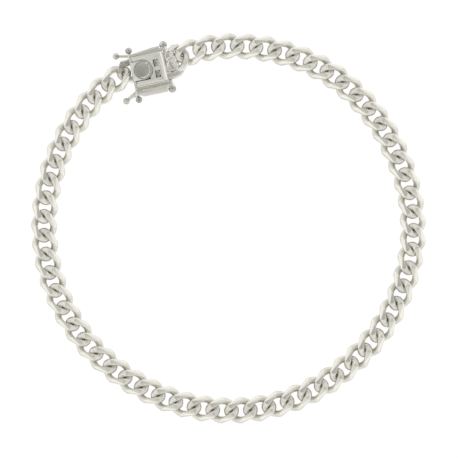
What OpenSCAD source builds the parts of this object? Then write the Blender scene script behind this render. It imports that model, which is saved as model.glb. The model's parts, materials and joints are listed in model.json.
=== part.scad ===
// Curb link bracelet with a box clasp, a push button and two safety latches.
// Millimetres. +Z up, the bracelet lies on z = 0, the loop is round the origin.
// The clasp runs along X at the top (+Y) of the loop, its tongue to the left.

/* [Chain] */
// Number of loose links, besides the two eyes on the clasp
n_links = 58; // [44:1:70]
// Outer length of a link
link_l = 5.84; // [5.3:0.02:7]
// Outer width of a link
link_w = 4.6; // [4:0.1:6]
// Thickness of the wire of a link
wire_d = 1.16; // [0.9:0.02:1.26]
// Play along the chain between the ends of two links that hold each other
end_play = 0.2; // [0.16:0.02:0.4]
// Air between two wires where one crosses over the other
cross_play = 0.2; // [0.16:0.02:0.4]

/* [Clasp box] */
// Length of the box
box_l = 5.46; // [5.3:0.02:7]
// Width of the box
box_w = 5.2; // [5:0.1:6.5]
// Height of the box
box_h = 3; // [2.9:0.05:4]
// Thickness of the box's floor, sides and end
wall_t = 0.35; // [0.25:0.05:0.4]
// Thickness of the box's top
top_t = 0.35; // [0.25:0.05:0.4]
// Distance from the hinge pin's axis to the box's end
pin_inset = 0.35; // [0.3:0.05:0.6]
// Angle round the loop from its top to the middle of the clasp
clasp_skew = 13; // [0:1:18]
// Distance from the loop's centre to the clasp's eyes, as a share of the loop's radius
clasp_reach = 0.98; // [0.96:0.01:1]
// Length of each of the two windows in the top
window_l = 0.86; // [0.6:0.02:0.9]
// Width of each window
window_w = 1.25; // [0.6:0.05:1.3]
// Width of the bar between the windows
window_bar = 0.75; // [0.4:0.05:1.2]
// Offset of both windows from the box's middle line, towards the wrist
window_offset = 0.2; // [0:0.05:0.3]
// Distance from the box's end to the groove across its top
groove_inset = 0.8; // [0.6:0.02:0.9]
// Width of the groove
groove_w = 0.2; // [0.1:0.01:0.24]
// Depth of the groove
groove_t = 0.2; // [0.1:0.02:0.24]
// Width of the raised edge along the box's end
edge_w = 0.26; // [0.15:0.01:0.35]
// Height of the raised edge above the top
edge_h = 0.1; // [0.05:0.01:0.2]

/* [Eyes] */
// Outer width of the box's eye
eye_w = 5.5; // [4.8:0.1:5.8]
// Outer width of the tongue's eye
tongue_eye_w = 4.3; // [4.2:0.1:4.8]
// Extra rise of an eye's wire over the link that it holds
eye_rise = 0.14; // [0:0.02:0.2]
// Offset of both eyes from the clasp's middle line, away from the wrist
eye_offset = 0.8; // [0:0.02:1]
// Distance from the hinge pin's axis to the middle of the box's eye
eye_reach = 1.25; // [1.1:0.05:2]
// Extra distance from the end plate to the tongue's eye
eye_stretch = 0.28; // [0.2:0.02:0.5]
// Distance from the box's side to the middle of its eye's foot, on the wrist side
inner_foot = 0.63; // [0.6:0.01:0.8]
// The same on the side away from the wrist
outer_foot = 1.1; // [1:0.05:1.4]
// Distance from the end plate's side to the tongue's eye's foot, away from the wrist
tongue_foot = 0.64; // [0.6:0.02:0.9]
// Length of the block of solder that holds the hinge pin and the eye's feet
block_l = 0.8; // [0.76:0.02:1]
// Height of the block
block_h = 1.1; // [1:0.05:1.15]
// Distance from the box's side to the block's side
block_inset = 0.15; // [0:0.05:0.3]
// Thickness of the web of solder between the eye's legs
web_t = 0.6; // [0.3:0.05:1]
// Air between the web and the link that the eye holds
web_gap = 0.15; // [0.12:0.01:0.3]
// Angle round that link's end that the web reaches, to each side
web_turn = 33; // [12:3:36]

/* [Tongue] */
// Thickness of the tongue's end plate
plate_t = 0.48; // [0.46:0.02:1]
// Gap between the end plate and the box's mouth
mouth_gap = 0.1; // [0.08:0.01:0.2]
// Thickness of the tongue's two spring leaves
leaf_t = 0.3; // [0.2:0.05:0.35]
// Air round the leaves inside the box
leaf_play = 0.1; // [0.08:0.02:0.14]
// Radius of the roll that the upper leaf turns on
roll_r = 0.4; // [0.3:0.05:0.45]

/* [Push button] */
// Diameter of the round button
button_d = 3.2; // [2.4:0.1:3.2]
// Height of the button above its pad
button_h = 0.3; // [0.15:0.05:0.6]
// Width of the button's raised rim
rim_w = 0.3; // [0.1:0.02:0.5]
// Depth of the dish inside the rim
dish_t = 0.12; // [0.04:0.02:0.2]
// Width of the pad that carries the button
pad_w = 3.36; // [3.3:0.02:3.6]
// Length of the pad
pad_l = 3.55; // [3.4:0.05:3.6]
// Thickness of the pad
pad_t = 0.45; // [0.35:0.05:0.5]
// Height of the pad's top above the box's top
pad_rise = 0.1; // [0:0.02:0.2]
// Distance from the end plate's outer face to the pad's end
pad_inset = 0.1; // [0.04:0.02:0.2]
// Gap between the pad and the notch in the box's top
notch_gap = 0.16; // [0.1:0.02:0.18]
// Reach of the notch's square corner past the button's middle, on the wrist side
notch_corner = 1.15; // [0.9:0.05:1.3]
// Angle that the button travels when pressed
press_angle = 5; // [3:0.5:5]

/* [Safety latches] */
// Thickness of the outer latch beside its hinge, across the clasp
latch_t = 0.9; // [0.7:0.02:1.3]
// Thickness of the outer latch at the peg
latch_end_t = 0.48; // [0.4:0.02:0.7]
// Thickness of the latch on the wrist side beside its hinge
inner_latch_t = 1.78; // [1.5:0.02:1.9]
// Thickness of the latch on the wrist side at the peg
inner_latch_end_t = 1.46; // [1.2:0.02:1.6]
// Width of the lower strip along the latch on the wrist side, next to the box
strip_w = 0.64; // [0.4:0.02:0.8]
// Depth of the strip below the rest of that latch
strip_drop = 0.2; // [0.1:0.02:0.3]
// Thickness of the outer latch's eye on the hinge pin
latch_eye_t = 0.5; // [0.4:0.05:0.6]
// Height of a latch at the hinge
latch_eye_h = 1.1; // [1:0.05:1.2]
// Height of a latch at the peg
latch_end_h = 1; // [0.9:0.05:1.1]
// Gap between the outer latch and the side of the box
latch_gap = 0.12; // [0.1:0.01:0.2]
// Extra thickness of the eye of the latch on the wrist side
eye_extra_t = 0.52; // [0.2:0.02:0.6]
// Diameter of a thumb rod at its ball
rod_d = 0.5; // [0.36:0.02:0.6]
// Diameter of the rod on the wrist side at the peg
inner_root_d = 0.9; // [0.5:0.05:0.95]
// Length of the thumb rod past the peg, to the middle of its ball
rod_l = 2.45; // [1.8:0.05:3]
// Angle that the outer latch's rod flares outward
rod_flare = 12.5; // [0:0.5:20]
// Angle that the rod on the wrist side flares towards the wrist
inner_rod_flare = 26; // [0:0.5:28]
// Angle that the thumb rod rises
rod_rise = 8; // [0:1:20]
// Diameter of the ball on the thumb rod
tip_d = 1.12; // [0.8:0.02:1.3]

/* [Hinge pin and pegs] */
// Diameter of the hinge pin
pin_d = 0.46; // [0.4:0.02:0.5]
// Air between those balls and the thick bars of the latches
ball_room = 0.1; // [0.06:0.02:0.2]
// Diameter of the balls on the hinge pin
pin_ball_d = 1.36; // [0.9:0.02:1.4]
// Clearance of the hinge pin in the block
pin_fit = 0.02; // [0.01:0.01:0.04]
// Radial clearance of a latch on the hinge pin
pin_clear = 0.05; // [0.03:0.01:0.08]
// Play of a latch between the box and its ball
pin_play = 0.12; // [0.08:0.02:0.2]
// Diameter of the pegs that the latches snap on
peg_d = 0.44; // [0.36:0.02:0.46]
// Diameter of the balls on the pegs
peg_ball_d = 1.16; // [0.8:0.02:1.2]
// Clearance of a latch's notch round its peg
peg_clear = 0.06; // [0.04:0.01:0.08]
// Bare length of a peg between its latch and its ball
peg_neck = 0.12; // [0.08:0.02:0.6]

/* [Hidden] */

// Way round the loop from the box's eye to the tongue's eye, clockwise from above:
// share of the way, and distance from the centre as a share of the loop's radius
ROUTE = [
  [0.018, 0.974],
  [0.037, 0.982],
  [0.070, 0.988],
  [0.150, 1.002],
  [0.240, 0.997],
  [0.320, 1.006],
  [0.450, 0.997],
  [0.540, 1.002],
  [0.660, 0.991],
  [0.800, 1.003],
  [0.900, 1.007],
  [0.965, 1.015],
  [0.985, 1.012]
];
// Straight steps that the way round is measured in
ROUTE_STEPS = 360;
// Corners round a link's wire, and cross-sections round a link
WIRE_SIDES = 6;
LINK_SECTIONS = 16;
// Roundness of pins, bores, balls and the button
PIN_FN = 32;
ROUND_FN = 48;
// A cut runs this far past the face that it goes through
OVER = 0.5;
// Soldered pieces run this far into each other
SOLDER = 0.1;

wire_r = wire_d / 2;
half_l = (link_l - wire_d) / 2;
half_w = (link_w - wire_d) / 2;
pitch = link_l - 2 * wire_d - end_play;
// Height of a link's wire above and below its middle where it crosses its neighbour's
lift = (wire_d + cross_play) / 2;
chain_z = lift + wire_r * cos(180 / WIRE_SIDES);

// The clasp's own frame: x = 0 under the hinge pin, y = 0 on the box's middle line
box_right = -pin_inset;
box_left = box_right - box_l;
plate_right = box_left - mouth_gap;
plate_left = plate_right - plate_t;
box_y = box_w / 2;
inner_y = box_y - wall_t;
ceiling_z = box_h - top_t;

// The hinge pin and the pegs lie as high as the chain's middle
pin_z = chain_z;
peg_x = (plate_left + plate_right) / 2;
latch_y = box_y + latch_gap;
// Distance from a ball's middle to the flat on its back
pin_ball_back = pin_ball_d / 4;
// A latch's thick bar begins clear of the ball
bar_start = -pin_ball_d / 2 - ball_room;

// The groove across the top, the windows beside it, and the roll that they show
groove_rim = 0.1;
groove_right = box_right - groove_inset;
window_right = groove_right - groove_w - groove_rim;
roll_x = window_right - window_l / 2;

// The tongue's leaves lie inside the box, and the upper one turns on the roll
fold_r = roll_r + leaf_play + leaf_t;
leaf_z = wall_t + leaf_play;
roll_z = leaf_z + fold_r;
side_play = 1.5 * leaf_play;
leaf_y = inner_y - side_play;
// Lips behind which the upper leaf catches
lip_t = 0.2;
lip_h = 0.3;
leaf_left = box_left + lip_t + side_play;
leaf_top = ceiling_z - leaf_play;
leaf_angle = atan2(leaf_top - leaf_t / 2 - roll_z, roll_x - leaf_left);
leaf_drop = leaf_t / (2 * cos(leaf_angle));

// The pad and its button sit in the notch in the box's top and reach over the end plate
pad_r = pad_w / 2;
notch_r = pad_r + notch_gap;
pad_top = box_h + pad_rise;
pad_left = plate_left + pad_inset;
button_x = pad_left + pad_l - pad_r;
// The end plate is low enough under the pad for it to be pressed
press_room = 0.1;
plate_low = pad_top - pad_t - (roll_x - pad_left) * sin(press_angle) - press_room;

// Where the middles of the eyes lie in the clasp's own frame
eye_left_x = plate_left + pitch - link_l / 2 - eye_stretch;
eye_span = eye_reach - eye_left_x;

function unit(v) = v / norm(v);
function total(list) = list * [for (x = list) 1];
function turned(p, angle) = [
  p.x * cos(angle) - p.y * sin(angle),
  p.x * sin(angle) + p.y * cos(angle),
  p.z
];
function heading(from, to) = atan2(to.y - from.y, to.x - from.x);

// The two eyes, seen from the middle of a loop of radius r
function clasp_middle(r) = r * clasp_reach * [-sin(clasp_skew), cos(clasp_skew)];
function eye_right(r) = clasp_middle(r) + [eye_span / 2, 0];
function eye_left(r) = clasp_middle(r) - [eye_span / 2, 0];

// The way round from one eye to the other as a list of points
function way(r) =
  let (
    a = heading([0, 0], eye_right(r)),
    b = heading([0, 0], eye_left(r)) - 360,
    shares = concat([[0, norm(eye_right(r)) / r]], ROUTE, [[1, norm(eye_left(r)) / r]])
  )
  [
    for (s = [0:ROUTE_STEPS])
      let (u = s / ROUTE_STEPS, angle = a + (b - a) * u)
        r * lookup(u, shares) * [cos(angle), sin(angle)]
  ];
function steps(points) = [for (i = [1:len(points) - 1]) norm(points[i] - points[i - 1])];

// The radius at which the way round is as long as the chain
function settled(r, tries) =
  tries == 0 ? r : settled(r * (chain_l + eye_span) / (total(steps(way(r))) + eye_span), tries - 1);

chain_l = (n_links + 1) * pitch;
loop_r = settled((chain_l + eye_span) / (2 * PI), 4);
WAY = way(loop_r);
WAY_STEPS = steps(WAY);
// Distance along the way to each of its points
WAY_MARKS = [
  for (s = 0, run = 0; s <= ROUTE_STEPS; run = run + (s < ROUTE_STEPS ? WAY_STEPS[s] : 0), s = s + 1)
    [run, s]
];
way_l = total(WAY_STEPS);

function way_point(run) =
  let (s = lookup(run, WAY_MARKS), i = min(floor(s), ROUTE_STEPS - 1))
    WAY[i] + (s - i) * (WAY[i + 1] - WAY[i]);

// Middles of the box's eye, the links and the tongue's eye, in order
MIDDLES = [for (i = [0:n_links + 1]) way_point(way_l * i / (n_links + 1))];
// Angle of each, along the chain
TURNS = [
  for (i = [0:n_links + 1])
    heading(MIDDLES[max(i - 1, 0)], MIDDLES[min(i + 1, n_links + 1)])
];
clasp_at = [MIDDLES[0].x - eye_reach, MIDDLES[0].y - eye_offset, 0];

// Middle of a link's wire: an oval that dips under its neighbours and rises over them
function link_at(t) = [half_l * cos(t), half_w * sin(t), -lift * sin(2 * t)];

// Corners of the wire's section at a point of a path that runs in a direction
function section(p, run) =
  let (side = unit(cross(run, [0, 0, 1])), up = unit(cross(side, run)))
  [
    for (k = [0:WIRE_SIDES - 1])
      let (c = 360 * k / WIRE_SIDES)
        p + wire_r * (cos(c) * side + sin(c) * up)
  ];
function tube_points(path, closed) =
  let (n = len(path))
  [
    for (i = [0:n - 1])
      let (
        before = path[closed ? (i + n - 1) % n : max(i - 1, 0)],
        after = path[closed ? (i + 1) % n : min(i + 1, n - 1)]
      )
        each section(path[i], after - before)
  ];
// Triangles of a tube's wall, for points that start at the number first
function tube_walls(n, closed, first) = [
  for (i = [0:n - (closed ? 1 : 2)])
    for (k = [0:WIRE_SIDES - 1])
      let (
        a = first + i * WIRE_SIDES + k,
        b = first + i * WIRE_SIDES + (k + 1) % WIRE_SIDES,
        c = first + ((i + 1) % n) * WIRE_SIDES + (k + 1) % WIRE_SIDES,
        d = first + ((i + 1) % n) * WIRE_SIDES + k
      )
        each [[a, b, c], [a, c, d]]
];
function tube_ends(n) = [
  [for (k = [0:WIRE_SIDES - 1]) WIRE_SIDES - 1 - k],
  [for (k = [0:WIRE_SIDES - 1]) (n - 1) * WIRE_SIDES + k]
];

LINK = tube_points([for (j = [0:LINK_SECTIONS - 1]) link_at(360 * j / LINK_SECTIONS)], true);

// A run of links, each a closed ring that passes through the next
module links(first, last) {
  polyhedron(
    points = [
      for (i = [first:last])
        for (p = LINK)
          turned(p, TURNS[i]) + [MIDDLES[i].x, MIDDLES[i].y, chain_z]
    ],
    faces = [for (i = [0:last - first]) each tube_walls(LINK_SECTIONS, true, i * len(LINK))]
  );
}

// The wire of an eye as a list of points: a foot, part of a link that bows away from
// the clasp, and a foot; side is 1 for the box's eye and -1 for the tongue's
function eye_path(middle_x, turn, outer_w, side, foot, first, last, other_foot) = concat(
  [foot],
  [
    for (j = [first:last])
      let (t = 360 * j / LINK_SECTIONS)
        turned(side * [half_l * cos(t), (outer_w - wire_d) / 2 * sin(t), 0], turn)
          + [middle_x, eye_offset, chain_z + link_at(t).z * (t < 0 ? 1 + eye_rise / lift : 1)]
  ],
  [other_foot]
);
module wire(path) {
  polyhedron(
    points = tube_points(path, false),
    faces = concat(tube_walls(len(path), false, 0), tube_ends(len(path)))
  );
}
// The outer foot stands in the block, this share of the way along it
foot_share = 0.8;
BOX_EYE = eye_path(
  eye_reach, TURNS[0], eye_w, 1,
  [box_right, inner_foot - box_y, chain_z], -LINK_SECTIONS / 4, LINK_SECTIONS / 4 - 1,
  [box_right + foot_share * block_l, box_y - outer_foot, chain_z]
);
TONGUE_EYE = eye_path(
  eye_left_x, TURNS[n_links + 1], tongue_eye_w, -1,
  [plate_right, box_y - tongue_foot, chain_z], 1 - LINK_SECTIONS / 4, LINK_SECTIONS / 8,
  [plate_right, -box_y / 2, chain_z - lift]
);

module at_clasp() {
  translate(clasp_at) children();
}

// A bar along Y from y0 to y1
module cross_bar(x, z, d, y0, y1) {
  translate([x, y1, z]) rotate([90, 0, 0]) cylinder(d = d, h = y1 - y0, $fn = PIN_FN);
}

// A block between two corners
module block(low, high) {
  translate(low) cube(high - low);
}

// The outline of the pad and of its notch: square to the left, round to the right
module pad_outline(r, left) {
  translate([button_x, 0]) circle(r = r, $fn = ROUND_FN);
  translate([left, -r]) square([button_x - left, 2 * r]);
}

// The notch is also square beside the button, on the wrist side
module notch_outline() {
  pad_outline(notch_r, box_left - OVER);
  translate([box_left - OVER, -notch_r]) square([button_x + notch_corner - box_left + OVER, notch_r]);
}

module chain_right() {
  color("silver") links(1, floor(n_links / 2));
}

module chain_left() {
  color("silver") links(floor(n_links / 2) + 1, n_links);
}

module box_windows() {
  for (side = [-1, 1])
    translate([
      window_right - window_l,
      side * (window_bar + window_w) / 2 - window_w / 2 - window_offset,
      ceiling_z - OVER
    ])
      cube([window_l, window_w, top_t + 2 * OVER]);
}

module box_shell() {
  difference() {
    block([box_left, -box_y, 0], [box_right, box_y, box_h]);
    block([box_left - OVER, -inner_y, wall_t], [box_right - wall_t, inner_y, ceiling_z]);
    block(
      [groove_right - groove_w, -inner_y, box_h - groove_t],
      [groove_right, inner_y, box_h + OVER]
    );
    translate([0, 0, ceiling_z - OVER])
      linear_extrude(top_t + 2 * OVER) notch_outline();
    box_windows();
  }
  block([box_right - edge_w, -box_y, box_h - SOLDER], [box_right, box_y, box_h + edge_h]);
}

// Lips behind which the upper leaf catches, one on each side of the notch
module catch_lips() {
  for (side = [-1, 1])
    block(
      [box_left, side > 0 ? notch_r : -inner_y - SOLDER, ceiling_z - lip_h],
      [box_left + lip_t, side > 0 ? inner_y + SOLDER : -notch_r, ceiling_z + SOLDER]
    );
}

// The block of solder on the box's end that the hinge pin passes through
module end_block() {
  block(
    [box_right - SOLDER, block_inset - box_y, chain_z - block_h / 2],
    [box_right + block_l, box_y - block_inset, chain_z + block_h / 2]
  );
}

// The solder between the eye's legs ends just short of the link that the eye holds
module web() {
  from_x = box_right + block_l - SOLDER;
  past_end = [link_l / 2 + web_gap, link_w / 2 + web_gap];
  link_end = [
    for (t = [180 + web_turn:-web_turn / 3:180 - web_turn])
      turned([past_end.x * cos(t), past_end.y * sin(t), 0], TURNS[1])
        + [MIDDLES[1].x - clasp_at.x, MIDDLES[1].y - clasp_at.y, 0]
  ];
  inner_leg = leg_line(BOX_EYE[0], BOX_EYE[1], from_x, link_end[0].x);
  last = len(BOX_EYE) - 1;
  outer_leg = leg_line(BOX_EYE[last], BOX_EYE[last - 1], link_end[len(link_end) - 1].x, from_x);
  translate([0, 0, chain_z - web_t / 2]) linear_extrude(web_t)
    polygon([for (p = concat(inner_leg, link_end, outer_leg)) [p.x, p.y]]);
}
// Two points of the line through a and b, at x = from_x and x = to_x
function leg_line(a, b, from_x, to_x) = [
  for (x = [from_x, to_x]) [x, a.y + (b.y - a.y) * (x - a.x) / (b.x - a.x)]
];

module clasp_box() {
  color("silver") at_clasp() difference() {
    union() {
      box_shell();
      catch_lips();
      end_block();
      web();
      intersection() {
        wire(BOX_EYE);
        block([box_right - SOLDER, -link_l, 0], [box_right + 2 * link_l, link_l, box_h]);
      }
    }
    cross_bar(0, pin_z, pin_d + 2 * pin_fit, -box_w, box_w);
  }
}

// A ball with a flat back on the end of the hinge pin, whose flat is at y = face
module pin_ball(face) {
  intersection() {
    translate([0, face + pin_ball_back, pin_z]) sphere(d = pin_ball_d, $fn = ROUND_FN);
    block(
      [-pin_ball_d, face, pin_z - pin_ball_d],
      [pin_ball_d, face + 2 * pin_ball_d, pin_z + pin_ball_d]
    );
  }
}

module hinge_pin() {
  outer_face = latch_y + latch_eye_t + pin_play;
  inner_face = outer_face + eye_extra_t;
  color("silver") at_clasp() {
    cross_bar(0, pin_z, pin_d, -inner_face - SOLDER, outer_face + SOLDER);
    pin_ball(outer_face);
    mirror([0, 1, 0]) pin_ball(inner_face);
  }
}

// The lower leaf ends in a fold that holds the upper leaf's roll
module lower_leaf() {
  block([plate_right - SOLDER, -leaf_y, leaf_z], [roll_x, leaf_y, leaf_z + leaf_t]);
  translate([roll_x, leaf_y, roll_z]) rotate([90, 0, 0]) linear_extrude(2 * leaf_y) difference() {
    circle(r = fold_r, $fn = ROUND_FN);
    circle(r = fold_r - leaf_t, $fn = ROUND_FN);
    translate([-2 * fold_r, -2 * fold_r]) square([2 * fold_r, 4 * fold_r]);
    translate([-fold_r, roll_r]) square([2 * fold_r, fold_r]);
  }
}

// The end plate is as high as the box, and lower where the pad reaches over it
module end_plate() {
  difference() {
    block([plate_left, -box_y, 0], [plate_right, box_y, box_h]);
    block(
      [plate_left - OVER, -notch_r, plate_low],
      [plate_right + OVER, notch_r, box_h + OVER]
    );
  }
}

module clasp_tongue() {
  outer_ball_y = latch_y + latch_end_t + peg_neck + peg_ball_d / 2;
  inner_ball_y = outer_ball_y + inner_latch_end_t - latch_end_t;
  color("silver") at_clasp() {
    end_plate();
    lower_leaf();
    cross_bar(peg_x, pin_z, peg_d, -inner_ball_y, outer_ball_y);
    for (y = [-inner_ball_y, outer_ball_y])
      translate([peg_x, y, pin_z]) sphere(d = peg_ball_d, $fn = ROUND_FN);
    intersection() {
      wire(TONGUE_EYE);
      block([plate_left - 2 * link_l, -link_l, 0], [plate_left + SOLDER, link_l, box_h]);
    }
  }
}

// Side view of the upper leaf: it rises from the roll to the catch lips
module leaf_profile(height) {
  polygon([
    [roll_x, roll_z - leaf_drop],
    [roll_x, roll_z + height],
    [leaf_left, leaf_top - leaf_drop + height],
    [leaf_left, leaf_top - 2 * leaf_drop]
  ]);
}

module push_button() {
  color("silver") at_clasp() {
    cross_bar(roll_x, roll_z, 2 * roll_r, -leaf_y, leaf_y);
    translate([0, leaf_y, 0]) rotate([90, 0, 0]) linear_extrude(2 * leaf_y) leaf_profile(leaf_drop);
    // The post of the pad stands on the leaf, and the pad reaches out over the end plate
    intersection() {
      translate([0, 0, roll_z]) linear_extrude(pad_top - roll_z) pad_outline(pad_r, leaf_left);
      translate([0, pad_r, 0]) rotate([90, 0, 0]) linear_extrude(2 * pad_r) leaf_profile(box_h);
    }
    translate([0, 0, pad_top - pad_t]) linear_extrude(pad_t) pad_outline(pad_r, pad_left);
    difference() {
      translate([button_x, 0, pad_top - SOLDER])
        cylinder(d = button_d, h = button_h + SOLDER, $fn = ROUND_FN);
      translate([button_x, 0, pad_top + button_h - dish_t])
        cylinder(d = button_d - 2 * rim_w, h = OVER, $fn = ROUND_FN);
    }
  }
}

// Side view of a latch, or of its strip, which is lower: round ends and a bar
module latch_profile(drop) {
  hull() {
    translate([0, pin_z]) circle(d = latch_eye_h - 2 * drop, $fn = PIN_FN);
    translate([peg_x, pin_z]) circle(d = latch_end_h - 2 * drop, $fn = PIN_FN);
  }
}

// View of a latch from above: a thin eye, and a bar that tapers from its shoulder to the peg
module latch_plan(eye_t, bar_t, end_t, shoulder_x) {
  right = latch_eye_h;
  left = peg_x - latch_end_h;
  polygon([
    [right, latch_y],
    [right, latch_y + eye_t],
    [bar_start, latch_y + eye_t],
    [bar_start, latch_y + bar_t],
    [shoulder_x, latch_y + bar_t],
    [peg_x + latch_end_h / 2, latch_y + end_t],
    [left, latch_y + end_t],
    [left, latch_y]
  ]);
}

// A latch on the +Y side, before its bore and notch are cut
module latch_blank(eye_t, bar_t, end_t, shoulder_x, strip, root_d, flare) {
  intersection() {
    union() {
      translate([0, latch_y + bar_t, 0]) rotate([90, 0, 0])
        linear_extrude(bar_t - strip) latch_profile(0);
      if (strip > 0)
        translate([0, latch_y + strip + SOLDER, 0]) rotate([90, 0, 0])
          linear_extrude(strip + SOLDER) latch_profile(strip_drop);
    }
    linear_extrude(box_h) latch_plan(eye_t, bar_t, end_t, shoulder_x);
  }
  // The thumb rod begins inside the latch's round end
  root = latch_end_h / 4;
  translate([peg_x - root, latch_y + end_t - root_d / 2, pin_z])
    rotate([0, rod_rise - 90, -flare]) {
      cylinder(d1 = root_d, d2 = rod_d, h = rod_l - root, $fn = PIN_FN);
      translate([0, 0, rod_l - root]) sphere(d = tip_d, $fn = ROUND_FN);
    }
}

// A latch with its bore and its open notch
module latch(eye_t, bar_t, end_t, shoulder_x, strip, root_d, flare) {
  notch_w = peg_d + 2 * peg_clear;
  past = 2 * (latch_y + bar_t);
  difference() {
    latch_blank(eye_t, bar_t, end_t, shoulder_x, strip, root_d, flare);
    cross_bar(0, pin_z, pin_d + 2 * pin_clear, 0, past);
    cross_bar(peg_x, pin_z, notch_w, 0, past);
    block([peg_x - notch_w / 2, 0, 0], [peg_x + notch_w / 2, past, pin_z]);
  }
}

module latch_outer() {
  shoulder_x = bar_start - latch_eye_h;
  color("silver") at_clasp()
    latch(latch_eye_t, latch_t, latch_end_t, shoulder_x, 0, rod_d, rod_flare);
}

module latch_inner() {
  eye_t = latch_eye_t + eye_extra_t;
  shoulder_x = peg_x + latch_end_h;
  color("silver") at_clasp() mirror([0, 1, 0]) latch(
    eye_t, inner_latch_t, inner_latch_end_t, shoulder_x, strip_w, inner_root_d, inner_rod_flare
  );
}

chain_right();
chain_left();
clasp_box();
hinge_pin();
clasp_tongue();
push_button();
latch_outer();
latch_inner();
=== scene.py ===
# A silver curb link bracelet with a box clasp, lying flat on a pale floor.
import json
import math
import random

import bmesh
import bpy
from mathutils import Matrix, Vector, noise


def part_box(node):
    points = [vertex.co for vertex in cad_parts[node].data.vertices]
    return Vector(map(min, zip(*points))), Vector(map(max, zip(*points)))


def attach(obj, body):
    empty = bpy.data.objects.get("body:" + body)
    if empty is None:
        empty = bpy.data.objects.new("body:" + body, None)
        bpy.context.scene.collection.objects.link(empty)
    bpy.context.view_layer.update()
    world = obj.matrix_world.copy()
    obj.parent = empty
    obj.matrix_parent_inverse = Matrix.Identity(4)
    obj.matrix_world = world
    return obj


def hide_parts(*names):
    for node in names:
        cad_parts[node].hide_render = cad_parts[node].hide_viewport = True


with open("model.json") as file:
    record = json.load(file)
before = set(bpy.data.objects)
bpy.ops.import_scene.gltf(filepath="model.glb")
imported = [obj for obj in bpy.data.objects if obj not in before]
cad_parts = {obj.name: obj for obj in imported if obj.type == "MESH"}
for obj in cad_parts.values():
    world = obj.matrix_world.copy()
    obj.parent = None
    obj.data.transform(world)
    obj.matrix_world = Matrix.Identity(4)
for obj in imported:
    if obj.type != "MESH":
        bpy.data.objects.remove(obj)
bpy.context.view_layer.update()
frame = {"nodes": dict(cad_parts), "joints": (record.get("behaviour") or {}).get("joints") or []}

MM = 0.001
UP = Vector((0, 0, 1))

# The wire of a link: as in the solids, but flatter, and pressed up to its neighbours
LINK_L = 5.98 * MM
LINK_W = 4.598 * MM
WIRE_R = 0.61 * MM
LIFT = 0.68 * MM
HALF_L = LINK_L / 2 - WIRE_R
HALF_W = LINK_W / 2 - WIRE_R
# Steps round a link, and corners round its wire
LINK_STEPS = 52
WIRE_SIDES = 16
# The wire's section lies between round (1) and square (0)
SQUARENESS = 0.74
# How far a link's oval is drawn in at its corners
CORNER_DRAW = 0.1
# Swelling of the wire at a link's ends, where it starts (by the cosine) and is full,
# and the height and slope of the pressed face there
END_SWELL = 0.14
END_START = 0.55
END_BLEND = 0.25
END_TOP = 0.76 * MM
END_FALL = 0.3
# Flats filed on a link's arcs: a nearly level one, and one that slopes outward from it.
# They meet in a ridge beside the link's middle line.
TOP_RIDGE = 1.0 * MM
UNDER_RIDGE = 1.1 * MM
RIDGE_X = 1.2 * MM
RIDGE_Y = 1.27 * MM
LEVEL_FLAT = (0.15, 0.14)
OUTER_FLAT = (0.05, math.tan(math.radians(33)))
FLAT_EDGE = 0.03 * MM
ARC_END = 0.9 * MM
# The link's outline is straight past its corners, and its underside is flat
CORNER_X = 1.6 * MM
CORNER_Y = 1.6 * MM
LOW_CORNER_Y = 1.82 * MM
CORNER_WAY = (0.447, 0.894)
UNDER_CUT = 1.13 * MM
# The pressed ends of a link, which lie between its neighbours
PRESSED_X = 1.15 * MM
PRESSED_Y = 1.3 * MM

# The clasp's own frame: under the hinge pin, on the box's middle line
button_low, button_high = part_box("push_button")
hinge = next(j for j in frame["joints"] if j["name"] == "outer_latch_hinge")["pos_m"]
CLASP = Vector((hinge[0], (button_low[1] + button_high[1]) / 2, 0))
# In mm: the button's middle, its dish with the rim round it, its bright lip, and the
# gap that it stands in
BUTTON_X = -4.42
DISH_R = 1.35
DISH_LOW = 3.2
RIM_TOP = 3.4
RIM_FALL = 0.09
LIP_R = 1.4
GAP_R = 1.76
# In mm: where the tongue's eye begins, and the balls of the latches and the pegs
EYE_X = -6.45
EYE_Y = 0.35
TIP_X = -7.75
PEG_SIDE = 3.35
PEG_X = -7.0


# ---- materials ----

def socket(node, name, value):
    node.inputs[name].default_value = value


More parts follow.
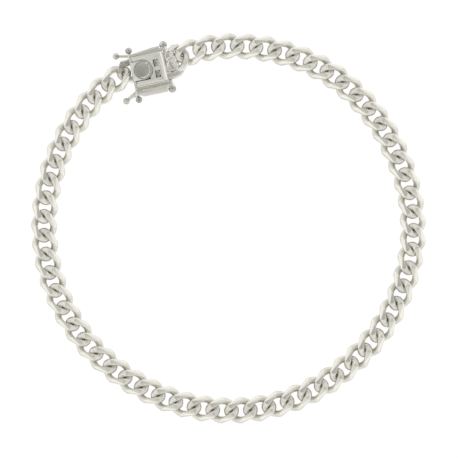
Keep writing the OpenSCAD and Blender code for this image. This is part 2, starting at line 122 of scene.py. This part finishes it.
def silver(
    name, colour, roughness, grain, scratch, dirt, streak=(1, 1, 1), sides=0.68, patches=520.0
):
    """Silver with tarnish (dirt) in patches, fine pits (grain) and drawn scratches.
    What faces sideways is darkened towards sides, a painted shade on the rims and sides; what
    faces up or down keeps its full colour."""
    material = bpy.data.materials.new(name)
    material.use_nodes = True
    nodes = material.node_tree.nodes
    links = material.node_tree.links
    shader = nodes["Principled BSDF"]
    socket(shader, "Metallic", 1.0)
    socket(shader, "Specular Tint", (0.6, 0.6, 0.58, 1))
    where = nodes.new("ShaderNodeTexCoord")
    along = nodes.new("ShaderNodeMapping")
    links.new(where.outputs["Object"], along.inputs["Vector"])
    along.inputs["Scale"].default_value = streak

    cloud = nodes.new("ShaderNodeTexNoise")
    links.new(along.outputs["Vector"], cloud.inputs["Vector"])
    socket(cloud, "Scale", patches)
    socket(cloud, "Detail", 5.0)
    socket(cloud, "Roughness", 0.62)
    tint = nodes.new("ShaderNodeValToRGB")
    links.new(cloud.outputs["Fac"], tint.inputs["Fac"])
    tint.color_ramp.elements[0].position = 0.36
    tint.color_ramp.elements[1].position = 0.62
    dull = tuple(c * (1 - dirt) for c in colour)
    tint.color_ramp.elements[0].color = (*dull, 1)
    tint.color_ramp.elements[1].color = (*colour, 1)
    facing = nodes.new("ShaderNodeSeparateXYZ")
    links.new(where.outputs["Normal"], facing.inputs["Vector"])
    upward = nodes.new("ShaderNodeMath")
    upward.operation = "ABSOLUTE"
    links.new(facing.outputs["Z"], upward.inputs[0])
    # Painted shade: faces whose normal turns from up or down towards sideways are darkened, down
    # to sides
    painted_side_shade = nodes.new("ShaderNodeMapRange")
    links.new(upward.outputs["Value"], painted_side_shade.inputs["Value"])
    socket(painted_side_shade, "From Min", 0.1)
    socket(painted_side_shade, "From Max", 0.6)
    socket(painted_side_shade, "To Min", sides)
    socket(painted_side_shade, "To Max", 1.0)
    shade = nodes.new("ShaderNodeVectorMath")
    shade.operation = "SCALE"
    links.new(tint.outputs["Color"], shade.inputs["Vector"])
    links.new(painted_side_shade.outputs["Result"], shade.inputs["Scale"])
    links.new(shade.outputs["Vector"], shader.inputs["Base Color"])

    drawn = nodes.new("ShaderNodeTexNoise")
    links.new(along.outputs["Vector"], drawn.inputs["Vector"])
    socket(drawn, "Scale", 2600.0)
    socket(drawn, "Detail", 4.0)
    rough = nodes.new("ShaderNodeMapRange")
    links.new(drawn.outputs["Fac"], rough.inputs["Value"])
    socket(rough, "From Min", 0.3)
    socket(rough, "From Max", 0.7)
    socket(rough, "To Min", roughness * 0.75)
    socket(rough, "To Max", roughness * 1.3)
    links.new(rough.outputs["Result"], shader.inputs["Roughness"])

    pits = nodes.new("ShaderNodeTexNoise")
    links.new(where.outputs["Object"], pits.inputs["Vector"])
    socket(pits, "Scale", 5200.0)
    socket(pits, "Detail", 3.0)
    fine = nodes.new("ShaderNodeBump")
    socket(fine, "Strength", grain)
    socket(fine, "Distance", 0.00002)
    links.new(pits.outputs["Fac"], fine.inputs["Height"])
    lines = nodes.new("ShaderNodeBump")
    socket(lines, "Strength", scratch)
    socket(lines, "Distance", 0.00003)
    links.new(drawn.outputs["Fac"], lines.inputs["Height"])
    links.new(fine.outputs["Normal"], lines.inputs["Normal"])
    links.new(lines.outputs["Normal"], shader.inputs["Normal"])
    return material


# In each silver, sides sets how dark the painted shade on its sideways faces is
CUT_FACE = silver("cut_face_silver", (0.97, 0.952, 0.86), 0.16, 0.08, 0.06, 0.05, sides=0.6)
WIRE = silver("drawn_wire_silver", (0.89, 0.872, 0.79), 0.28, 0.4, 0.4, 0.12, sides=0.88)
PRESSED_END = silver("pressed_end_silver", (0.89, 0.872, 0.795), 0.3, 0.9, 1.0, 0.2, sides=0.78)
CLASP_TOP = silver(
    "brushed_clasp_silver", (0.98, 0.965, 0.885), 0.44, 0.5, 0.9, 0.1, (0.2, 1, 1), 0.8, 800.0,
)
POLISHED = silver(
    "polished_silver", (0.97, 0.955, 0.875), 0.36, 0.6, 1.0, 0.22, (0.1, 1, 1), 0.8, 1100.0,
)
# The balls' darker colour and their strongly darkened sides are painted shade, for the dark
# reflections that the balls show
BALL = silver("ball_silver_painted_shade", (0.78, 0.77, 0.7), 0.14, 0.3, 0.4, 0.5, sides=0.4, patches=900.0)
# A darker silver for the button's dish, and for the box's inside seen through its windows, where
# it is painted shade
DISH = silver("dished_silver", (0.68, 0.67, 0.6), 0.26, 0.4, 0.5, 0.2)
LIP = silver("bright_lip_silver", (0.97, 0.95, 0.87), 0.2, 0.3, 0.3, 0.05, sides=0.9)
# A darker silver for the top of the tongue's eye: painted shade
EYE_SHADE = silver("eye_painted_shade_silver", (0.6, 0.59, 0.54), 0.25, 0.3, 0.3, 0.2)
SOLDER = silver("cast_solder_silver", (0.93, 0.92, 0.85), 0.2, 0.6, 0.3, 0.3)


# ---- making pieces ----

# Degrees of turn past which an edge is shaded sharp, softened, or is the edge of a flat
SHARP_SHADE = 35
SHARP_EDGE = 32
SHARP_FLAT = 12
# How far from the middle a ring is spun before it is laid along its way
SPIN_R = 10
BAR_SIDES = 16


def finish(name, bm, materials, body, replaced=()):
    """Turns a bmesh into a finished piece that rides on a body."""
    for v in bm.verts:
        v.co.z = max(v.co.z, 0)
    mesh = bpy.data.meshes.new(name)
    bm.to_mesh(mesh)
    bm.free()
    for material in materials:
        mesh.materials.append(material)
    mesh.shade_smooth()
    mesh.set_sharp_from_angle(angle=math.radians(SHARP_SHADE))
    if len(materials) > 1:
        finish_of = {}
        for face in mesh.polygons:
            for edge in face.edge_keys:
                finish_of.setdefault(edge, set()).add(face.material_index)
        for edge in mesh.edges:
            if len(finish_of.get(edge.key, ())) > 1:
                edge.use_edge_sharp = True
    piece = bpy.data.objects.new(name, mesh)
    bpy.context.scene.collection.objects.link(piece)
    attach(piece, body)
    if replaced:
        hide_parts(*replaced)
    return piece


def merged_copy(node):
    """The node's solid as a bmesh of joined faces, flat areas in one piece."""
    bm = bmesh.new()
    bm.from_mesh(frame["nodes"][node].data)
    bmesh.ops.remove_doubles(bm, verts=bm.verts, dist=0.000001)
    bmesh.ops.dissolve_limit(
        bm, angle_limit=math.radians(0.5), verts=bm.verts, edges=bm.edges, delimit={"NORMAL"}
    )
    return bm


def soften(bm, width):
    edges = [
        e for e in bm.edges
        if len(e.link_faces) == 2 and e.calc_face_angle(0) > math.radians(SHARP_EDGE)
    ]
    bmesh.ops.bevel(
        bm, geom=edges, offset=width, offset_type="OFFSET", segments=2, profile=0.5,
        affect="EDGES", clamp_overlap=True, material=-1,
    )


def tube(sides, steps, closed, place):
    """A wire: a ring spun through a full or nearly full turn, then laid along a way.
    place(share of the way, offset across, offset up) gives each point."""
    bm = bmesh.new()
    turn = 2 * math.pi if closed else math.pi
    ring = bmesh.ops.create_circle(
        bm, cap_ends=False, segments=sides, radius=1,
        matrix=Matrix.Translation((SPIN_R, 0, 0)) @ Matrix.Rotation(math.pi / 2, 4, "X"),
    )
    bmesh.ops.spin(
        bm, geom=ring["verts"] + bm.edges[:], cent=(0, 0, 0), axis=(0, 0, 1), angle=turn,
        steps=steps, use_merge=closed, use_duplicate=False,
    )
    if not closed:
        bmesh.ops.holes_fill(bm, edges=[e for e in bm.edges if e.is_boundary], sides=0)
    for v in bm.verts:
        share = (math.atan2(v.co.y, v.co.x) % (2 * math.pi)) / turn
        # The first ring of an open wire may come out just short of a full turn
        if not closed and share > 1.5:
            share = 0
        v.co = place(share, math.hypot(v.co.x, v.co.y) - SPIN_R, v.co.z)
    bmesh.ops.recalc_face_normals(bm, faces=bm.faces)
    if bm.calc_volume(signed=True) < 0:
        bmesh.ops.reverse_faces(bm, faces=bm.faces)
    return bm


def across(run):
    """Sideways and upwards from the direction of a wire."""
    side = run.cross(UP).normalized()
    return side, side.cross(run).normalized()


# ---- links ----

def link_middle(t):
    draw = 1 - CORNER_DRAW * math.sin(2 * t) ** 2
    across_link = draw * HALF_W * math.sin(t)
    return Vector((draw * HALF_L * math.cos(t), across_link, -LIFT * math.sin(2 * t)))


def link_point(share, out, up):
    t = 2 * math.pi * share
    run = link_middle(t + 0.01) - link_middle(t - 0.01)
    side, rise = across(run)
    middle = link_middle(t)
    out, up = (math.copysign(abs(a) ** SQUARENESS, a) for a in (out, up))
    end = min(1, max(0, (abs(math.cos(t)) - END_START) / END_BLEND))
    point = middle + WIRE_R * ((out + END_SWELL * end * (out - 1) / 2) * side + up * rise)
    # The ends are pressed: they fall more gently than the wire's middle does
    face = 1 if up > 0 else -1
    wanted = END_TOP - END_FALL * middle.y * math.copysign(1, math.cos(t)) * face
    point.z += face * end * abs(up) ** 0.7 * max(0, wanted - face * middle.z - WIRE_R)
    return point


def cut_flat(bm, at, normal, arc, material=1):
    """Files a flat on the arcs of a link that lie where arc(point) is true."""
    faces = [f for f in bm.faces if arc(f.calc_center_median())]
    # Each edge and point once, and in the same order on every run
    edges = list(dict.fromkeys(e for f in faces for e in f.edges))
    verts = list(dict.fromkeys(v for f in faces for v in f.verts))
    cut = bmesh.ops.bisect_plane(
        bm, geom=faces + edges + verts, dist=0.0000001, plane_co=at, plane_no=normal,
        clear_outer=True, clear_inner=False,
    )
    rim = [e for e in cut["geom_cut"] if isinstance(e, bmesh.types.BMEdge)]
    for face in bmesh.ops.holes_fill(bm, edges=rim, sides=0)["faces"]:
        face.material_index = material


def link():
    bm = tube(WIRE_SIDES, LINK_STEPS, True, link_point)
    for top in (1, -1):
        level = TOP_RIDGE if top > 0 else UNDER_RIDGE
        for side in (1, -1):
            ridge = Vector((-side * top * RIDGE_X, side * RIDGE_Y, top * level))
            for (along, outward), reach in ((LEVEL_FLAT, 0), (OUTER_FLAT, WIRE_R)):
                cut_flat(
                    bm, ridge, (side * top * along, side * outward, top),
                    lambda p: p.y * side > 0 and p.z * top > -reach and p.x * side * top < ARC_END,
                )
            away = CORNER_Y if top > 0 else LOW_CORNER_Y
            corner = Vector((-side * top * CORNER_X, side * away, 0))
            cut_flat(
                bm, corner, (-side * top * CORNER_WAY[0], side * CORNER_WAY[1], 0),
                lambda p: p.y * side > 0 and p.x * side * top < 0, 0,
            )
    cut_flat(bm, Vector((0, 0, -UNDER_CUT)), (0, 0, -1), lambda p: True)
    for f in bm.faces:
        place = f.calc_center_median()
        if f.material_index == 0 and abs(place.x) > PRESSED_X and abs(place.y) < PRESSED_Y:
            f.material_index = 2
    edges = [
        e for e in bm.edges
        if any(f.material_index == 1 for f in e.link_faces)
        and e.calc_face_angle(0) > math.radians(SHARP_FLAT)
    ]
    bmesh.ops.bevel(
        bm, geom=edges, offset=FLAT_EDGE, offset_type="OFFSET", segments=1, profile=0.5,
        affect="EDGES", clamp_overlap=True, material=-1,
    )
    mesh = bpy.data.meshes.new("link")
    bm.to_mesh(mesh)
    bm.free()
    return mesh


def link_places(node):
    """Middle and heading of each loose link of a node's solid."""
    bm = bmesh.new()
    bm.from_mesh(frame["nodes"][node].data)
    bmesh.ops.remove_doubles(bm, verts=bm.verts, dist=0.000001)
    bm.verts.index_update()
    left = set(bm.verts)
    places = []
    while left:
        ring = {left.pop()}
        edge = set(ring)
        while edge:
            edge = {e.other_vert(v) for v in edge for e in v.link_edges} - ring
            ring |= edge
        left -= ring
        ring = sorted(ring, key=lambda v: v.index)
        middle = sum((v.co for v in ring), Vector()) / len(ring)
        # The long axis of the ring is the way that its points spread furthest
        xx = sum((v.co.x - middle.x) ** 2 for v in ring)
        yy = sum((v.co.y - middle.y) ** 2 for v in ring)
        xy = sum((v.co.x - middle.x) * (v.co.y - middle.y) for v in ring)
        places.append((middle.copy(), 0.5 * math.atan2(2 * xy, xx - yy)))
    bm.free()
    return sorted(places, key=lambda p: math.atan2(p[0].y, p[0].x))


def run_of_links(name, node, shape):
    random.seed(name)
    bm = bmesh.new()
    for middle, heading in link_places(node):
        one = bmesh.new()
        one.from_mesh(shape)
        sway = Matrix.Rotation(math.radians(random.uniform(-1, 1)), 4, "X")
        bmesh.ops.transform(
            one, matrix=Matrix.Translation(middle) @ Matrix.Rotation(heading, 4, "Z") @ sway,
            verts=one.verts,
        )
        mesh = bpy.data.meshes.new("one")
        one.to_mesh(mesh)
        one.free()
        bm.from_mesh(mesh)
        bpy.data.meshes.remove(mesh)
    finish(name, bm, (WIRE, CUT_FACE, PRESSED_END), "bracelet", (node,))


one_link = link()
run_of_links("links_right", "chain_right", one_link)
run_of_links("links_left", "chain_left", one_link)
bpy.data.meshes.remove(one_link)


# ---- clasp ----

def clasp_piece(name, bm, materials, body, replaced=()):
    return finish(name, bm, materials, body, replaced)


def clasp_copy(name, node, body, materials, width, mark=None, lean=None):
    """A node's solid with softened edges. mark(middle, normal) says which of the
    materials a face takes."""
    bm = merged_copy(node)
    if lean:
        lean(bm)
    if width:
        soften(bm, width)
    if mark:
        bm.normal_update()
        for f in bm.faces:
            f.material_index = mark((f.calc_center_median() - CLASP) / MM, f.normal)
    return clasp_piece(name, bm, materials, body, (node,))


def bar(name, body, materials, way, crown=0.8, tilt=0, steps=24):
    """A bar along a way of (x, y, z, half width, half height) in the clasp's frame, in mm.
    Its crown is cut flat at a share of its half height and may be tilted about its run."""
    lean = math.radians(tilt)

    def place(share, out, up):
        at = share * (len(way) - 1)
        i = min(int(at), len(way) - 2)
        here = [a + (b - a) * (at - i) for a, b in zip(way[i], way[i + 1])]
        before = way[max(i - (at - i < 0.5), 0)]
        after = way[min(i + 1 + (at - i >= 0.5), len(way) - 1)]
        side, rise = across(Vector(after[:3]) - Vector(before[:3]))
        out, up = here[3] * out, here[4] * min(up, crown)
        out, up = (
            out * math.cos(lean) - up * math.sin(lean), out * math.sin(lean) + up * math.cos(lean)
        )
        return CLASP + MM * (Vector(here[:3]) + out * side + up * rise)

    return clasp_piece(name, tube(BAR_SIDES, steps, False, place), materials, body)


# In mm: how far a lumpy patch's edge dips and how thick it is; and its cells each way
PATCH_DIP = 0.1
PATCH_THICK = 0.25
PATCH_CELLS = (18, 24)


def lumpy_patch(name, body, material, corners, low, high, lump):
    """Lumpy metal over a four-cornered place in the clasp's frame, in mm, closed below."""
    bm = bmesh.new()
    bmesh.ops.create_grid(bm, x_segments=PATCH_CELLS[0], y_segments=PATCH_CELLS[1], size=0.5)
    a, b, c, d = (Vector(corner) for corner in corners)
    for v in bm.verts:
        u, w = v.co.x + 0.5, v.co.y + 0.5
        plan = a * (1 - u) * (1 - w) + b * u * (1 - w) + c * u * w + d * (1 - u) * w
        rise = noise.noise(Vector((plan.x / lump, plan.y / lump, 0.7)))
        rise = low + (high - low) * min(1, max(0, 0.5 + 0.9 * rise))
        if min(u, 1 - u, w, 1 - w) < 0.001:
            rise = low - PATCH_DIP
        v.co = CLASP + MM * Vector((plan.x, plan.y, rise))
    shell = bm.faces[:]
    below = bmesh.ops.extrude_face_region(bm, geom=shell)["geom"]
    bmesh.ops.translate(
        bm, vec=(0, 0, -PATCH_THICK * MM),
        verts=[v for v in below if isinstance(v, bmesh.types.BMVert)],
    )
    bmesh.ops.recalc_face_normals(bm, faces=bm.faces)
    return clasp_piece(name, bm, (material,), body)


def button_face(middle, normal):
    """The dish inside the button's rim takes the darker silver."""
    from_middle = math.hypot(middle.x - BUTTON_X, middle.y)
    return 1 if middle.z > DISH_LOW and from_middle < DISH_R and normal.z > 0.9 else 0


def lean_rim(bm):
    """The button's rim slopes in towards its dish."""
    for v in bm.verts:
        place = (v.co - CLASP) / MM
        if place.z > RIM_TOP - 0.03 and math.hypot(place.x - BUTTON_X, place.y) < DISH_R:
            v.co.z -= RIM_FALL * MM


def tongue_face(middle, normal):
    """The upward faces on the outside of the tongue's eye take a darker silver, a painted shade,
    and its pegs end in balls.
    """
    if abs(middle.y) > PEG_SIDE and middle.x > PEG_X:
        return 2
    return 1 if middle.x < EYE_X and middle.y > EYE_Y and normal.z > 0.55 else 0


def ball_face(middle, normal):
    """The balls at the ends of the latches' rods."""
    return 1 if middle.x < TIP_X else 0


# How much the edges of the clasp and of its latches are softened
CLASP_SOFT = 0.05 * MM
LATCH_SOFT = 0.08 * MM
# Height, half width and half height of the end ridge, the button's lip and its gap, in mm
RIDGE = (2.98, 0.16, 0.22)
BUTTON_LIP = (3.29, 0.18, 0.06)
BUTTON_GAP = (2.79, 0.055, 0.2)

clasp_copy("box_body", "clasp_box", "bracelet", (CLASP_TOP,), CLASP_SOFT)
clasp_copy("hinge_pin_body", "hinge_pin", "bracelet", (BALL,), 0)
clasp_copy(
    "tongue_body", "clasp_tongue", "bracelet", (CLASP_TOP, EYE_SHADE, BALL), CLASP_SOFT,
    tongue_face,
)
clasp_copy(
    "button_body", "push_button", "button", (CLASP_TOP, DISH), CLASP_SOFT, button_face, lean_rim
)
for side in ("outer", "inner"):
    clasp_copy(
        f"latch_{side}_body", f"latch_{side}", f"{side}_latch", (POLISHED, BALL), LATCH_SOFT,
        ball_face,
    )

# The ridge over the box's hinge end
ridge = ((-0.72, 2.55), (-0.6, 1.6), (-0.55, -0.4), (-0.55, -1.9), (-0.5, -2.55))
bar(
    "end_ridge", "bracelet", (LIP,), [(*place, *RIDGE) for place in ridge],
    crown=0.7, tilt=-24,
)
# The flat legs of the box's eye, on the wrist side and on the far side
bar(
    "inner_leg_face", "bracelet", (POLISHED,),
    ((-0.34, -2.0, 1.35, 0.65, 0.62), (0.9, -1.92, 1.35, 0.65, 0.62),
     (1.75, -1.68, 1.35, 0.64, 0.6), (2.5, -1.32, 1.5, 0.42, 0.42)),
    crown=0.82,
)
bar(
    "outer_leg_face", "bracelet", (POLISHED,),
    ((0.75, 2.42, 1.2, 0.36, 0.42), (1.05, 2.55, 1.2, 0.42, 0.42), (1.7, 2.85, 1.2, 0.42, 0.42),
     (2.6, 3.1, 1.25, 0.3, 0.34)),
    crown=0.6, tilt=24,
)
# Lumpy solder beside the eye, and what shows through the box's windows, in a darker silver that is
# painted shade inside the box
lumpy_patch(
    "eye_solder", "bracelet", SOLDER,
    ((-0.22, -1.4), (2.3, -1.1), (1.5, 2.25), (-0.22, 2.4)), 1.66, 2.05, 0.42,
)
lumpy_patch(
    "window_floor_painted_shade", "bracelet", DISH,
    ((-2.25, -1.95), (-1.3, -1.95), (-1.3, 1.55), (-2.25, 1.55)), 2.3, 2.5, 0.5,
)
# Bright worn lines: the button's lip on the wrist side, the latches' crests and the
# step where the tongue leaves the box
lip = [math.radians(a) for a in range(-115, 31, 12)]
bar(
    "button_lip", "button", (LIP,),
    [(BUTTON_X + LIP_R * math.cos(a), LIP_R * math.sin(a), *BUTTON_LIP) for a in lip],
    crown=0.6, tilt=-24, steps=40,
)
bar(
    "inner_latch_crest", "inner_latch", (LIP,),
    ((-5.2, -3.42, 1.66, 0.17, 0.14), (-2.6, -3.5, 1.66, 0.2, 0.14),
     (-0.3, -3.42, 1.66, 0.17, 0.14)),
    crown=0.6, tilt=24,
)
bar(
    "outer_latch_crest", "outer_latch", (LIP,),
    ((-5.0, 3.04, 1.66, 0.12, 0.14), (-2.6, 3.3, 1.66, 0.14, 0.14),
     (-1.15, 3.44, 1.66, 0.12, 0.14)),
    crown=0.6, tilt=-24,
)
bar(
    "tongue_step", "bracelet", (LIP,),
    ((-6.12, -1.7, 1.5, 0.1, 0.22), (-6.12, 1.0, 1.5, 0.1, 0.22)),
    crown=0.6, tilt=24,
)
# The seam round the button's pad, from its wrist side round to the box's mouth
turns = [math.radians(a) for a in range(-50, 91, 7)]
gap = [(BUTTON_X + GAP_R * math.cos(a), GAP_R * math.sin(a), *BUTTON_GAP) for a in turns]
gap += [(x, GAP_R, *BUTTON_GAP) for x in (-5.1, -5.78)]
bar("pad_seat", "bracelet", (CLASP_TOP,), gap, steps=60)


# ---- floor, light and camera ----

# Way to the middle of the tent's dim patch, and its brightness by the cosine of the
# angle from there, from the horizon to the middle
DIM_WAY = Vector((0.14, 0.16, 1)).normalized()
TENT = ((0.0, 0.65), (0.25, 0.98), (0.6, 0.92), (0.82, 0.68), (0.985, 0.41))


# The floor's half width, how far it lies under the bracelet, and its own glow
FLOOR_HALF = 1.5
FLOOR_DROP = 0.01 * MM
FLOOR_GLOW = 0.95
# The camera looks straight down from a height on the middle of the photograph's square,
# whose side it shows
CAMERA_HEIGHT = 0.6
CAMERA_OVER = (0.012 * MM, -0.351 * MM)
CAMERA_TURN = -12
IMAGE_SIDE = 458
MM_A_PIXEL = 0.1766


def pale_floor():
    bm = bmesh.new()
    bmesh.ops.create_grid(bm, x_segments=1, y_segments=1, size=FLOOR_HALF)
    bmesh.ops.translate(bm, vec=(0, 0, -FLOOR_DROP), verts=bm.verts)
    mesh = bpy.data.meshes.new("floor")
    bm.to_mesh(mesh)
    bm.free()
    floor = bpy.data.objects.new("floor", mesh)
    bpy.context.scene.collection.objects.link(floor)
    material = bpy.data.materials.new("pale_floor")
    material.use_nodes = True
    shader = material.node_tree.nodes["Principled BSDF"]
    socket(shader, "Base Color", (0.1, 0.1, 0.1, 1))
    socket(shader, "Roughness", 0.9)
    socket(shader, "Specular IOR Level", 0.0)
    socket(shader, "Emission Color", (1, 1, 1, 1))
    socket(shader, "Emission Strength", FLOOR_GLOW)
    mesh.materials.append(material)


def white_tent():
    """A bright tent that is dimmer overhead, most of all towards its dark side."""
    world = bpy.data.worlds.new("tent")
    world.use_nodes = True
    nodes = world.node_tree.nodes
    links = world.node_tree.links
    where = nodes.new("ShaderNodeTexCoord")
    turn = nodes.new("ShaderNodeVectorMath")
    turn.operation = "DOT_PRODUCT"
    links.new(where.outputs["Generated"], turn.inputs[0])
    turn.inputs[1].default_value = DIM_WAY
    ramp = nodes.new("ShaderNodeValToRGB")
    stops = ramp.color_ramp.elements
    while len(stops) < len(TENT):
        stops.new(0.5)
    for stop, (place, glow) in zip(stops, TENT):
        stop.position = place
        stop.color = (glow, glow, glow, 1)
    links.new(turn.outputs["Value"], ramp.inputs["Fac"])
    sky = nodes["Background"]
    links.new(ramp.outputs["Color"], sky.inputs["Color"])
    socket(sky, "Strength", 1.0)
    bpy.context.scene.world = world


def overhead_camera():
    data = bpy.data.cameras.new("camera")
    data.sensor_width = 36
    data.lens = data.sensor_width * CAMERA_HEIGHT / (IMAGE_SIDE * MM_A_PIXEL * MM)
    data.dof.use_dof = False
    data.clip_start = 0.01
    camera = bpy.data.objects.new("camera", data)
    camera.location = (*CAMERA_OVER, CAMERA_HEIGHT)
    camera.rotation_euler = (0, 0, math.radians(CAMERA_TURN))
    bpy.context.scene.collection.objects.link(camera)
    bpy.context.scene.camera = camera


pale_floor()
white_tent()
overhead_camera()
bpy.context.scene.view_settings.view_transform = "Standard"
